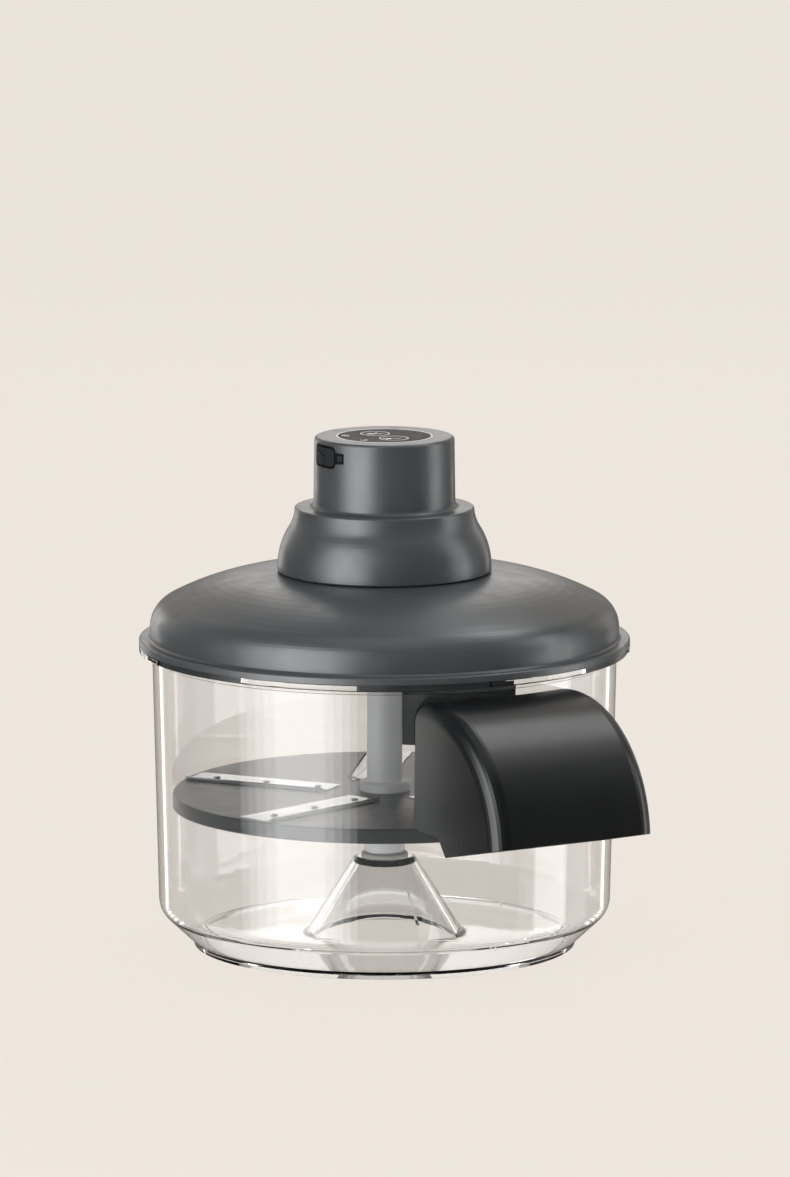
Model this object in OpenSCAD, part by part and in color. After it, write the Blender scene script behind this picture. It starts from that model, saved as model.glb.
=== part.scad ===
// Electric grape peeler: a clear bowl with an outlet hood, a spinning disc with five blades,
// a domed lid with a hanging baffle, and a lift-off motor unit with a planetary gear stage.
// Millimetres, +Z up. The origin is on the spin axis, in the plane that the foot ring rests on,
// and +X points to the outlet hood.

/* [Bowl] */
// Radius of the rim flange, shared with the lid
rim_r = 100.5; // [98:0.5:103]
// Height of the rim's top face
rim_z = 124.2; // [120:0.2:130]
// Thickness of the rim flange
rim_t = 2.6; // [2:0.1:3.6]
// Width of the rim flange beyond the wall
rim_w = 5.4; // [4.6:0.1:6]
// How much narrower the wall is just above the bottom corner
wall_draft = 2.4; // [1.6:0.1:3]
// Thickness of the wall
wall_t = 2.6; // [2.2:0.1:2.8]
// Radius of the rounded bottom corner
corner_r = 9; // [7:0.5:10]
// Step in from the wall to the foot ring
foot_in = 14.4; // [13.6:0.1:18]
// Width of the foot ring
foot_w = 2.5; // [2:0.1:4]
// Thickness of the floor
floor_t = 2.6; // [2:0.1:3]
// Radius of the centre cone at the floor
cone_base_r = 31; // [30:0.5:38]
// Height of the centre cone's top
cone_top_z = 36; // [31:0.5:38]

/* [Outlet] */
// Width of the port in the wall
port_w = 66; // [60:1:67]
// Distance from the rim's underside to the port's top
port_drop = 9.1; // [8:0.1:12]
// Width of the hood beyond the port, on each side
hood_side = 4.2; // [3.5:0.1:6]
// Radius of the hood's curved roof
roof_r = 54; // [52:0.5:55]
// Radius of the hood's rounded side edges
hood_edge_r = 7; // [5:0.5:10]
// Wall thickness of the hood
hood_t = 2.4; // [2:0.1:2.8]

/* [Blade disc] */
// Gap between the disc and the bowl's wall
disc_gap = 4; // [2.5:0.02:4.5]
// Height of the disc's top face
disc_z = 63.5; // [62:0.1:64]
// Height of the disc's rim
disc_rim_h = 6; // [5.5:0.1:7]
// Thickness of the disc between its ribs
disc_plate_t = 3.2; // [3:0.1:3.5]
// Distance from a blade's outer corner to the disc's edge
blade_margin = 1.4; // [1:0.1:7]
// Width of a blade
blade_w = 17; // [15:0.5:17]
// Thickness of a blade
blade_t = 0.9; // [0.7:0.05:1]
// Distance from the disc's centre to a blade's centre line
blade_offset = 8; // [7:0.1:8.2]

/* [Spindle] */
// Radius of the spindle's tube
spindle_r = 7.25; // [7:0.05:7.6]
// Radius of the collar on top of the disc
collar_r = 10.2; // [9.5:0.1:12]
// Height of that collar
collar_h = 4; // [3:0.5:6]
// Radius of the sleeve under the disc
sleeve_r = 8.4; // [8:0.05:8.6]

/* [Lid] */
// Height of the lid above the rim
lid_h = 30; // [29:0.1:31.5]
// Thickness of the lid's flange
lid_flange_t = 2.8; // [2:0.1:3.6]
// Width of the flange outside the dome's upright wall
ledge_w = 4.5; // [3.5:0.1:5.2]
// Radius of the dome's long arc
dome_arc_r = 105; // [100:1:112]
// Radius of the dome's shoulder
shoulder_r = 12; // [10:0.5:13]
// Thickness of the lid
lid_t = 2.6; // [2.2:0.1:2.8]
// Depth of the skirt inside the bowl
skirt_h = 1.2; // [1:0.1:7]
// Width of each of the six locating lugs, in degrees
lug_arc = 31; // [18:1:34]
// Distance that the baffle reaches out to
baffle_r = 54; // [50:1:64]
// Height of the gap under the baffle
baffle_gap = 17; // [16:0.5:24]

/* [Motor unit] */
// Radius of the bell at its foot
bell_r = 43.8; // [43.6:0.1:45]
// Radius of the bell's shoulder
bell_shoulder_r = 36.7; // [36.5:0.1:38]
// Height of the bell
bell_h = 26.5; // [26.2:0.1:28]
// Radius of the neck at its foot
neck_r = 29; // [28.8:0.1:30]
// Radius of the neck near its top
neck_top_r = 28.6; // [28.5:0.1:29]
// Room between the motor and the control board
motor_room = 2.7; // [2.4:0.1:5]
// Thickness of the bell and neck
shell_t = 2.4; // [2:0.1:2.5]
// Radius of the control panel with its light ring
panel_r = 19.7; // [19.4:0.1:20.5]
// Radius of a key
key_r = 6.3; // [5.5:0.1:6.6]
// Distance between the two keys' centres
key_pitch = 15.2; // [14.6:0.1:15.6]
// Width of the charging port's cover
cover_w = 16; // [14:0.5:17]
// Height of that cover
cover_h = 8.6; // [7:0.2:8.8]

/* [Drive] */
// Module of the gear teeth
gear_module = 0.6; // [0.56:0.01:0.6]
// Across flats of the drive hexagon
hex_af = 8; // [7:0.1:8.2]
// Radius of the motor's can
motor_r = 12.15; // [11:0.05:12.4]
// Length of the motor's can
motor_len = 31; // [28:0.5:31.5]
// Radius of a battery cell
cell_r = 7; // [6:0.1:7]
// Length of a battery cell
cell_len = 43; // [34:0.5:43]

/* [Hidden] */
$fn = 96;
EPS = 0.01;

// Clearances
run_gap = 0.05;     // radial, between a shaft and its bush
seat_gap = 0.3;     // between pieces that sit loosely together
slip_gap = 0.2;     // round a key, or a cell in its cradle
screw_gap = 0.05;   // round a screw's shank

// Bowl
wall_top_r = rim_r - rim_w;
wall_foot_r = wall_top_r - wall_draft;
foot_r = wall_foot_r - foot_in;
rim_under_z = rim_z - rim_t;
rim_bead = [2.3, 0.4];          // height and thickness of the bead under the rim
corner_slope = 43;              // of the straight stretch under the corner, from level
corner_c = [wall_foot_r - corner_r, 18.9];
foot_lip_z = 2.1;
floor_z = 1.6;
floor_top_z = floor_z + floor_t;
cone_wall = 2.5;
socket_d = 0.8;                     // depth of the cone's socket
socket_z = cone_top_z - socket_d;
bush_r = sleeve_r + 1.2;
bush_top_z = cone_top_z + 1.4;
pivot_pin = [4.2, 9];               // radius and height of the bush's pin, inside the sleeve
shoulder_w = 3.7;                   // of the cone round its socket

// Outlet hood: its roof is an arc about an axis along Y
hood_set = 1.7;                     // of the roof's axis outside the wall's top
roof_gap = 4.9;                     // between the roof and the rim
roof_c = [wall_top_r + hood_set, rim_under_z - roof_gap - roof_r];
port_z = disc_z + 1;
port_h = rim_under_z - port_drop - port_z;
port_x = [wall_foot_r - 25, rim_r + 20];    // from inside the wall to clear of it
hood_w = port_w + 2 * hood_side;
port_corner_r = 4;
hood_gap = 0.4;
frame_t = 2;                        // of the frame that lies on the bowl's wall
collar_t = 1.6;                     // of the collar inside the port
mouth_rise = 3.8;                   // of the roof's lower edge over the roof's axis
mouth_front_z = roof_c[1] + mouth_rise;
lip_in = [roof_c[0] + 8, port_z + 0.1];     // where the chute's floor ends
lip_out = [roof_c[0] + 14.3, port_z - 7.5]; // foot of the chute's lip

// Blade disc
BLADES = 5;
blade_start_a = 70.5;               // direction of the first blade
blade_in = 20;                      // from the disc's centre to a blade's inner end
pocket_d = 0.5;
edge_rise = 1.15;                   // of the cutting edge over the blade's flat
edge_w = 3.4;                       // of the bent-up strip
slot_w = 5.2;
rivet_at = [0.10, 0.47, 0.83];      // shares of a blade's length
rivet_head = [1.6, 0.7];            // radius and height
rivet_r = 0.8;
hub_r = 12.5;
key_square = 9;                     // of the spindle through the disc
stud = [4.2, 8];                    // radius and length of the spindle's stud under the disc
disc_under_z = disc_z - disc_rim_h;
disc_r = wall_r(disc_under_z) - wall_t - disc_gap;
blade_len = sqrt(pow(disc_r - blade_margin, 2) - pow(blade_offset + blade_w / 2, 2)) - blade_in;
pocket_z = disc_z - pocket_d;

// Lid
seat_z = rim_z + lid_h;
lid_flange_z = rim_z + lid_flange_t;
dome_r = rim_r - ledge_w;
dome_c = [41, seat_z - dome_arc_r];
shoulder_a = asin((dome_r - shoulder_r - dome_c[0]) / (dome_arc_r - shoulder_r));
shoulder_c = dome_c + (dome_arc_r - shoulder_r) * [sin(shoulder_a), cos(shoulder_a)];
skirt_r = wall_top_r - wall_t - 0.5;
skirt_t = 2;
well_r = 22.3;
well_z = seat_z - 8.2;              // top of the well's floor
lug_w = 3.6;
lug_inset = 0.9;                    // of a lug behind the flange's edge
LUG_AT = [for (i = [0:5]) 39 + 60 * i];
lid_bush_r = spindle_r + run_gap + 2.2;
lid_bush_lip = 1.5;
baffle_a = 59.5;                    // direction of the baffle
baffle_t = 3;
baffle_side = lid_bush_r + 0.5 + baffle_t / 2;    // its plane's distance from the spin axis
baffle_z = disc_z + baffle_gap;
baffle_droop = 1.5;                 // of its lower edge towards the wall
baffle_corner_r = 6;
pad = [27, 36, 14, 2.8];            // the baffle's pad: inner and outer end, width, thickness
pad_screws = [[31.5, -4.6], [31.5, 4.6]];

// Motor unit
bell_z = seat_z + seat_gap;
bell_top_z = bell_z + bell_h;
bell_flat_z = bell_z + 2;           // where the bell starts to curve in
bell_a = 2 * atan((bell_r - bell_shoulder_r) / (bell_top_z - bell_flat_z));
bell_arc_sum = (bell_top_z - bell_flat_z) / sin(bell_a);
bell_arc_low = 0.655 * bell_arc_sum;    // the bell's foot takes the longer arc of its S
bell_arc_high = bell_arc_sum - bell_arc_low;
neck_foot_r = 2.2;                  // cove at the neck's foot
neck_edge_r = 1.5;                  // round at its top
spigot_r = neck_r - shell_t;
spigot_h = 4.2;
top_wall = 2.8;
panel_t = 1.3;
panel_sink = 0.1;                   // of the panel and keys under the neck's top
ring_w = 0.6;
board_t = 1.2;
board_r = neck_top_r - shell_t - 1.6;
board_post_h = 0.8;
base_t = 2.5;
base_r = bell_r - shell_t - 0.8;
base_top_z = seat_z + base_t;
locate_h = 5;                       // of the ring that drops into the lid's well
base_screw_at = [70, 110, 250, 290];
base_screw_r = 36.2;
boss_r = 3.1;
boss_h = 11;
base_screw = [2.8, 1.45, 1.2];      // radius of head and shank, height of head
board_screw = [1.2, 0.8, 0.9];
case_screw = [2.3, 1.2, 1.5];
BOARD_SCREW_AT = [90, 210, 330];
socket_size = [9, 3.2, 7.3];        // charging socket: width, height, depth
socket_y = -(neck_top_r - shell_t) + 0.3;
cover_t = 1.1;
cover_half_a = cover_w / 2 / neck_r * 180 / PI;
cover_tab = [8, 4];                 // angle and height of the pull tab
tab_inset = 0.2;                    // of the tab's faces behind the cover's
cover_corner_r = 2.2;
plug_size = [8.8, 2.6, 1.2];        // width, height and depth of the plug behind the cover
hatch = [10.6, 4.6];                // hole in the neck that the plug fills

// Keys
key_lift = 0.3;                     // of a key's underside over the panel's floor
key_stem_r = 2;
dome_t = 0.35;
dome_foot_r = 3;
stem_gap = 0.3;

// Gear stage
SUN_TEETH = 12;
PLANET_TEETH = 18;
RING_TEETH = SUN_TEETH + 2 * PLANET_TEETH;
PLANETS = 3;
pressure_a = 25;
backlash = 0.1;                     // taken off each tooth's width
orbit_r = gear_module * (SUN_TEETH + PLANET_TEETH) / 2;
addendum = 0.9 * gear_module;
dedendum = 1.2 * gear_module;
ring_root_r = gear_module * RING_TEETH / 2 + dedendum;
ring_tip_r = ring_root_r - dedendum - addendum;
bearing_r = 8;
bearing_h = 4;
bearing_z = seat_z + 0.7;
journal_r = 5;
seal_r = 6.8;
seal_h = 2.4;
carrier_r = 12.4;
carrier_t = 2.2;
carrier_z = base_top_z + 2.6;
pin_r = 1.4;
gear_z = carrier_z + carrier_t + 0.4;
gear_w = 5;
case_r = 18;
case_lip_r = ring_root_r + 0.4;
case_top_z = gear_z + gear_w + 4.6;
case_roof_t = 2.4;
case_ear = [21, 3.4, 2.8];          // distance from the axis, radius, height
motor_cup = [1.6, 3];               // wall and height of the cup round the motor's foot
motor_z = case_top_z;
board_z = motor_z + motor_len + motor_room;
neck_top_z = board_z + board_t + board_post_h + top_wall;
panel_floor_z = neck_top_z - panel_t;
cover_z = board_z - socket_size[1] / 2;
cover_out_r = min(neck_side_r(cover_z - cover_h / 2), neck_side_r(cover_z + cover_h / 2));
cover_in_r = cover_out_r - cover_t;
motor_shaft_r = 1;
motor_nose = [3, 2];                // radius and height of the motor's front boss
motor_tail = [5, 1.6];
hex_reach = 14.7;                   // of the drive hexagon under the lid's seat
hex_z = seat_z - hex_reach;
spindle_top_z = well_z + 3.5;
hex_depth = spindle_top_z - hex_z + 3;
hex_slack = 0.3;                    // across the socket's flats
cell_x = case_r + cell_r + 1;
cell_z = base_top_z + cell_r + 0.8;
cradle_y = 13;
cradle_t = 2.4;

// Points along an arc about c, from angle a0 to angle a1
function arc(c, r, a0, a1, n = 8) =
    [for (i = [0:n]) let (a = a0 + (a1 - a0) * i / n) c + r * [cos(a), sin(a)]];

// Radius at height z on the straight stretch below p that falls at the corner's slope
function slope_r(p, z) = p[0] - (p[1] - z) / tan(corner_slope);

// Outer radius of the bowl's wall at height z
function wall_r(z) =
    wall_foot_r + (wall_top_r - wall_foot_r) * (z - corner_c[1]) / (rim_under_z - corner_c[1]);

// Outer radius of the neck's wall at height z
function neck_side_r(z) =
    let (z0 = bell_top_z + neck_foot_r, z1 = neck_top_z - neck_edge_r)
    neck_r + (neck_top_r - neck_r) * (z - z0) / (z1 - z0);

// Half the angle between an involute's start and the point at radius r, from base radius rb
function involute_a(r, rb) = r <= rb ? 0 : tan(acos(rb / r)) * 180 / PI - acos(rb / r);

// Outline of a spur gear with tip and root radii, and teeth narrowed by slack
function gear_points(teeth, tip, root, slack) =
    let (
        rp = gear_module * teeth / 2,
        rb = rp * cos(pressure_a),
        half_a = 90 / teeth - slack / 2 / rp * 180 / PI,
        radii = root < rb ? [root, rb, rp, tip] : [root, rp, tip],
        flank = [for (r = radii) [r, half_a + involute_a(rp, rb) - involute_a(r, rb)]],
        last = len(radii) - 1
    )
    [for (i = [0:teeth - 1], s = [-1, 1], k = [0:last])
        let (q = flank[s < 0 ? k : last - k], a = i * 360 / teeth + s * q[1])
        q[0] * [cos(a), sin(a)]];

// Rectangle with round corners, centred
module rounded_rect(w, h, r) {
    polygon(concat(
        arc([w / 2 - r, h / 2 - r], r, 0, 90, 6),
        arc([-w / 2 + r, h / 2 - r], r, 90, 180, 6),
        arc([-w / 2 + r, -h / 2 + r], r, 180, 270, 6),
        arc([w / 2 - r, -h / 2 + r], r, 270, 360, 6)));
}

// Bar of round-cornered section along X, from x0 to x1, with its section from z0 to z1
module bar_x(x0, x1, w, z0, z1, r) {
    translate([x0, 0, (z0 + z1) / 2])
        rotate([90, 0, 90])
            linear_extrude(x1 - x0)
                rounded_rect(w, z1 - z0, r);
}

// Ring of rectangular section
module ring(r_in, r_out, z0, z1) {
    rotate_extrude()
        polygon([[r_in, z0], [r_out, z0], [r_out, z1], [r_in, z1]]);
}

// Part of such a ring, centred on direction a
module ring_part(r_in, r_out, z0, z1, a, width_a) {
    rotate([0, 0, a - width_a / 2])
        rotate_extrude(angle = width_a)
            polygon([[r_in, z0], [r_out, z0], [r_out, z1], [r_in, z1]]);
}

// Upright prism of a plan outline in X and Z, width w along Y
module plate_xz(points, w) {
    translate([0, w / 2, 0])
        rotate([90, 0, 0])
            linear_extrude(w)
                polygon(points);
}

// Screw pointing up: head from z0 to z1, shank on to z2
module screw_up(head_r, shank_r, z0, z1, z2) {
    translate([0, 0, z0])
        cylinder(r = head_r, h = z1 - z0);
    translate([0, 0, z1 - EPS])
        cylinder(r = shank_r, h = z2 - z1 + EPS);
}

// Bowl

module bowl_solid() {
    outer_end = arc(corner_c, corner_r, corner_slope - 90, corner_slope - 90, 1)[0];
    inner_end = arc(corner_c, corner_r - wall_t, corner_slope - 90, corner_slope - 90, 1)[0];
    bead_z = rim_under_z - rim_bead[0];
    socket_r = bush_r + run_gap;
    cone_r = socket_r + shoulder_w;
    cone_run = (cone_base_r - cone_r) / (cone_top_z - 2 - floor_top_z);
    cone_wall_r = cone_wall * sqrt(1 + cone_run * cone_run);
    under_z = socket_z - cone_wall;
    under_r = cone_base_r - cone_run * (under_z - floor_top_z) - cone_wall_r;
    under_base_r = cone_base_r + cone_run * floor_t - cone_wall_r;
    rotate_extrude()
        polygon(concat(
            [[0, under_z], [under_r, under_z], [under_base_r, floor_z]],
            [[foot_r - foot_w - 0.8, floor_z], [foot_r - foot_w, 0], [foot_r, 0]],
            [[slope_r(outer_end, foot_lip_z), foot_lip_z]],
            arc(corner_c, corner_r, corner_slope - 90, 0),
            [[wall_r(bead_z), bead_z], [wall_r(bead_z) + rim_bead[1], bead_z + 0.3]],
            [[wall_r(rim_under_z - 1) + rim_bead[1], rim_under_z - 1], [wall_top_r + 1.3, rim_under_z]],
            arc([rim_r - 0.6, rim_under_z + 0.6], 0.6, -90, 0, 3),
            arc([rim_r - 0.4, rim_z - 0.4], 0.4, 0, 90, 3),
            [[wall_top_r - wall_t, rim_z]],
            arc(corner_c, corner_r - wall_t, 0, corner_slope - 90),
            [[slope_r(inner_end, floor_top_z), floor_top_z]],
            arc([cone_base_r + 3, floor_top_z + 3], 3, -90, -145, 4),
            arc([cone_r - 2.2, cone_top_z - 2.2], 2.2, 30, 90, 6),
            [[socket_r, cone_top_z], [socket_r, socket_z], [0, socket_z]]));
}

module bowl() {
    color("whitesmoke", 0.35)
    difference() {
        bowl_solid();
        bar_x(port_x[0], rim_r - 2, port_w, port_z, port_z + port_h, port_corner_r);
        for (a = LUG_AT)
            ring_part(rim_r - lug_w - seat_gap, rim_r + 1, rim_under_z - 1, rim_z + 1, a, lug_arc + 0.5);
    }
}

// Flanged bush in the cone's socket, with a pin that the rotor turns on
module pivot_bush() {
    color("dimgray")
    rotate_extrude()
        polygon([[0, socket_z], [bush_r, socket_z], [bush_r, bush_top_z - 0.4],
            [bush_r - 0.4, bush_top_z], [pivot_pin[0], bush_top_z],
            [pivot_pin[0], bush_top_z + pivot_pin[1] - 0.6],
            [pivot_pin[0] - 0.6, bush_top_z + pivot_pin[1]], [0, bush_top_z + pivot_pin[1]]]);
}

// Outlet hood

module hood_turn(r, w, edge_r) {
    translate([roof_c[0], 0, roof_c[1]])
        rotate([90, 0, 0])
            rotate([0, 0, -30])
                rotate_extrude(angle = 210)
                    polygon(concat(
                        [[0, -w / 2]],
                        arc([r - edge_r, -w / 2 + edge_r], edge_r, -90, 0),
                        arc([r - edge_r, w / 2 - edge_r], edge_r, 0, 90),
                        [[0, w / 2]]));
}

// Cone that clears the bowl's wall by a gap
module wall_clear(gap) {
    z0 = corner_c[1];
    translate([0, 0, z0])
        cylinder(r1 = wall_r(z0) + gap, r2 = wall_r(rim_z) + gap, h = rim_z - z0);
}

module hood_shell() {
    front = roof_c + [sqrt(roof_r * roof_r - mouth_rise * mouth_rise), 0];
    corner = [roof_c[0] - 5.2, port_z - 0.1];
    difference() {
        hood_turn(roof_r, hood_w, hood_edge_r);
        hood_turn(roof_r - hood_t, hood_w - 2 * hood_t, hood_edge_r - hood_t);
        wall_clear(hood_gap);
        plate_xz(concat(
            [[front[0] + 20, mouth_front_z + 20 * (mouth_front_z - lip_out[1]) / (front[0] - lip_out[0])]],
            [lip_out, lip_in, corner],
            arc([corner[0] - 1, corner[1] + 5], 5, -90, -180, 6),
            [[corner[0] - 40, corner[1] + 5], [corner[0] - 40, -10], [front[0] + 20, -10]]),
            hood_w + 10);
    }
}

// Frame on the bowl's wall, and the collar that plugs into the port
module hood_frame() {
    z0 = port_z + hood_gap;
    z1 = port_z + port_h - hood_gap;
    w = port_w - 2 * hood_gap;
    difference() {
        union() {
            intersection() {
                difference() {
                    wall_clear(hood_gap + frame_t);
                    wall_clear(hood_gap);
                }
                bar_x(port_x[0], port_x[1], hood_w - hood_t, port_z - 0.1, port_z + port_h + 2.6,
                    port_corner_r);
            }
            intersection() {
                difference() {
                    wall_clear(hood_gap + frame_t);
                    wall_clear(-wall_t);
                }
                bar_x(port_x[0], port_x[1], w, z0, z1, port_corner_r - hood_gap);
            }
        }
        bar_x(port_x[0] - 5, port_x[1] + 5, w - 2 * collar_t, z0 + collar_t, z1 - collar_t,
            port_corner_r - hood_gap - collar_t);
    }
}

// Floor that carries the fruit out of the port, with its slanted lip
module hood_chute() {
    difference() {
        plate_xz([[roof_c[0] - 13, port_z], [lip_in[0], lip_in[1]], lip_out,
            [lip_out[0] + hood_t, lip_out[1] + 0.6], [lip_in[0] + 1.2, lip_in[1] + hood_t],
            [roof_c[0] - 13, port_z + hood_t - 0.4]], hood_w - hood_t);
        wall_clear(hood_gap);
    }
}

module outlet_hood() {
    color([0.13, 0.13, 0.14])
    union() {
        hood_shell();
        hood_frame();
        hood_chute();
    }
}

// Rotor

// Children placed in each blade's own frame: X along the blade, Y to its cutting edge
module at_blade(i) {
    rotate([0, 0, blade_start_a + i * 360 / BLADES])
        translate([blade_in, blade_offset, 0])
            children();
}

module blade_disc() {
    color([0.25, 0.26, 0.27])
    difference() {
        union() {
            translate([0, 0, disc_z - disc_plate_t])
                cylinder(r = disc_r - 1, h = disc_plate_t);
            rotate_extrude()
                polygon(concat(
                    [[disc_r - 2.5, disc_under_z], [disc_r - 0.5, disc_under_z]],
                    [[disc_r, disc_under_z + 0.5]],
                    arc([disc_r - 0.8, disc_z - 0.8], 0.8, 0, 90, 4),
                    [[disc_r - 2.5, disc_z]]));
            translate([0, 0, disc_under_z])
                cylinder(r = hub_r, h = disc_rim_h);
            for (i = [0:BLADES - 1])
                rotate([0, 0, blade_start_a + 58 + i * 360 / BLADES])
                    translate([hub_r - 1, -1, disc_under_z + 1])
                        cube([disc_r - hub_r - 0.5, 2, disc_rim_h - 2]);
        }
        translate([-key_square / 2 - run_gap, -key_square / 2 - run_gap, disc_under_z - 1])
            cube([key_square + 2 * run_gap, key_square + 2 * run_gap, disc_rim_h + 2]);
        for (i = [0:BLADES - 1])
            at_blade(i) {
                translate([-slip_gap, -blade_w / 2 - slip_gap, pocket_z])
                    cube([blade_len + 2 * slip_gap, blade_w + 2 * slip_gap, 2]);
                translate([2, blade_w / 2 - edge_w, disc_under_z - 1])
                    cube([blade_len - 6, slot_w, disc_rim_h + 2]);
                for (s = rivet_at)
                    translate([s * blade_len, 0, disc_under_z - 1])
                        cylinder(r = rivet_r + screw_gap, h = disc_rim_h + 2);
            }
    }
}

// One blade: a flat strip whose long edge is bent up and ground sharp
module blade(i) {
    half = blade_w / 2;
    color("lightsteelblue")
    at_blade(i)
        difference() {
            translate([0, 0, pocket_z])
                rotate([90, 0, 90])
                    linear_extrude(blade_len)
                        polygon([[-half, 0], [half - edge_w + 0.2, 0], [half + 0.3, edge_rise + 0.4],
                            [half - 0.5, edge_rise + blade_t], [half - edge_w - 0.1, blade_t],
                            [-half, blade_t]]);
            for (s = rivet_at)
                translate([s * blade_len, 0, pocket_z - 1])
                    cylinder(r = rivet_r + screw_gap, h = 4);
        }
}

module blade_rivets() {
    color("silver")
    for (i = [0:BLADES - 1], s = rivet_at)
        at_blade(i)
            translate([s * blade_len, 0, 0]) {
                translate([0, 0, pocket_z + blade_t])
                    cylinder(r1 = rivet_head[0], r2 = rivet_head[0] - 0.5, h = rivet_head[1]);
                translate([0, 0, disc_z - disc_plate_t - rivet_head[1]])
                    cylinder(r = rivet_head[0], h = rivet_head[1]);
                translate([0, 0, disc_z - disc_plate_t - EPS])
                    cylinder(r = rivet_r, h = disc_plate_t - pocket_d + blade_t + 2 * EPS);
            }
}

module spindle() {
    color("darkgray")
    difference() {
        union() {
            rotate_extrude()
                polygon([[0, disc_z], [collar_r, disc_z], [collar_r, disc_z + collar_h - 0.8],
                    [collar_r - 0.8, disc_z + collar_h], [spindle_r, disc_z + collar_h],
                    [spindle_r, spindle_top_z - 0.8], [spindle_r - 0.8, spindle_top_z], [0, spindle_top_z]]);
            translate([-key_square / 2, -key_square / 2, disc_under_z])
                cube([key_square, key_square, disc_rim_h + EPS]);
            translate([0, 0, disc_under_z - stud[1]])
                cylinder(r = stud[0], h = stud[1] + EPS);
        }
        translate([0, 0, spindle_top_z - hex_depth])
            cylinder(d = (hex_af + hex_slack) / cos(30), h = hex_depth + 1, $fn = 6);
    }
}

module hub_sleeve() {
    z0 = bush_top_z + seat_gap;
    color("gray")
    difference() {
        rotate_extrude()
            polygon([[0, z0], [sleeve_r - 0.8, z0], [sleeve_r, z0 + 0.8], [sleeve_r, disc_under_z],
                [0, disc_under_z]]);
        translate([0, 0, disc_under_z - stud[1] - 1])
            cylinder(r = stud[0] + run_gap, h = stud[1] + 2);
        translate([0, 0, z0 - 1])
            cylinder(r = pivot_pin[0] + run_gap, h = pivot_pin[1] + 1.2);
    }
}

// Lid

module lid_shell() {
    in_r = dome_r - lid_t;
    rotate_extrude()
        polygon(concat(
            [[lid_bush_r + run_gap, well_z - lid_t], [lid_bush_r + run_gap, well_z], [well_r, well_z]],
            [[well_r, seat_z]],
            arc(dome_c, dome_arc_r, 90, 90 - shoulder_a, 12),
            arc(shoulder_c, shoulder_r, 90 - shoulder_a, 0, 10),
            [[dome_r, lid_flange_z + 0.8], [dome_r + 0.8, lid_flange_z]],
            arc([rim_r - 0.8, lid_flange_z - 0.8], 0.8, 90, 0, 4),
            [[rim_r, rim_z], [skirt_r, rim_z], [skirt_r, rim_z - skirt_h]],
            [[skirt_r - skirt_t, rim_z - skirt_h]],
            [[skirt_r - skirt_t, lid_flange_z], [in_r, lid_flange_z + 3]],
            arc(shoulder_c, shoulder_r - lid_t, 0, 90 - shoulder_a, 10),
            arc(dome_c, dome_arc_r - lid_t, 90 - shoulder_a, 90, 12),
            [[well_r + lid_t, seat_z - lid_t], [well_r + lid_t, well_z - lid_t]]));
}

module lid() {
    color([0.32, 0.34, 0.35])
    difference() {
        union() {
            lid_shell();
            for (a = LUG_AT)
                ring_part(rim_r - lug_w, rim_r - lug_inset, rim_under_z, rim_z + 1, a, lug_arc);
        }
        at_baffle()
            for (p = pad_screws)
                translate([p[0], p[1], seat_z - lid_t - 1])
                    cylinder(r = 1.2 + screw_gap, h = 1 + lid_t - 0.9);
    }
}

module lid_bush() {
    bore = spindle_r + run_gap;
    color("ivory")
    rotate_extrude()
        polygon([[bore, well_z - lid_t - 2], [lid_bush_r, well_z - lid_t - 2], [lid_bush_r, well_z],
            [lid_bush_r + lid_bush_lip, well_z], [lid_bush_r + lid_bush_lip, well_z + 1.4],
            [bore, well_z + 1.4]]);
}

// Children placed in the baffle's own frame: X along its plate, which is centred on Y
module at_baffle() {
    rotate([0, 0, baffle_a])
        translate([0, baffle_side, 0])
            children();
}

module baffle() {
    top_in = well_z - lid_t - seat_gap;
    top_out = seat_z - lid_t - 3.4;
    color([0.2, 0.2, 0.21])
    at_baffle()
        difference() {
            union() {
                plate_xz(concat(
                    arc([2, baffle_z + 2], 2, 180, 270, 4),
                    arc([baffle_r - baffle_corner_r, baffle_z - baffle_droop + baffle_corner_r],
                        baffle_corner_r, 270, 360, 8),
                    [[baffle_r, top_out], [pad[1], top_out], [pad[1], seat_z - lid_t]],
                    [[pad[0], seat_z - lid_t], [pad[0], top_in], [0, top_in]]),
                    baffle_t);
                translate([pad[0], -pad[2] / 2, seat_z - lid_t - pad[3]])
                    cube([pad[1] - pad[0], pad[2], pad[3]]);
            }
            for (p = pad_screws)
                translate([p[0], p[1], seat_z - lid_t - pad[3] - 1])
                    cylinder(r = 1.2 + screw_gap, h = pad[3] + 2);
        }
}

module baffle_screws() {
    z1 = seat_z - lid_t - pad[3];
    color("silver")
    at_baffle()
        for (p = pad_screws)
            translate([p[0], p[1], 0])
                screw_up(2.2, 1.2, z1 - 1.6, z1, seat_z - 1.2);
}

// Motor unit

// Bell's side as an S of two arcs, moved in by t
function bell_side(t) =
    let (
        low = [bell_r - bell_arc_low, bell_flat_z],
        high = [bell_shoulder_r + bell_arc_high, bell_top_z]
    )
    concat(arc(low, bell_arc_low - t, 0, bell_a, 10), arc(high, bell_arc_high + t, 180 + bell_a, 180, 8));

function reversed(list) = [for (i = [len(list) - 1:-1:0]) list[i]];

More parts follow.
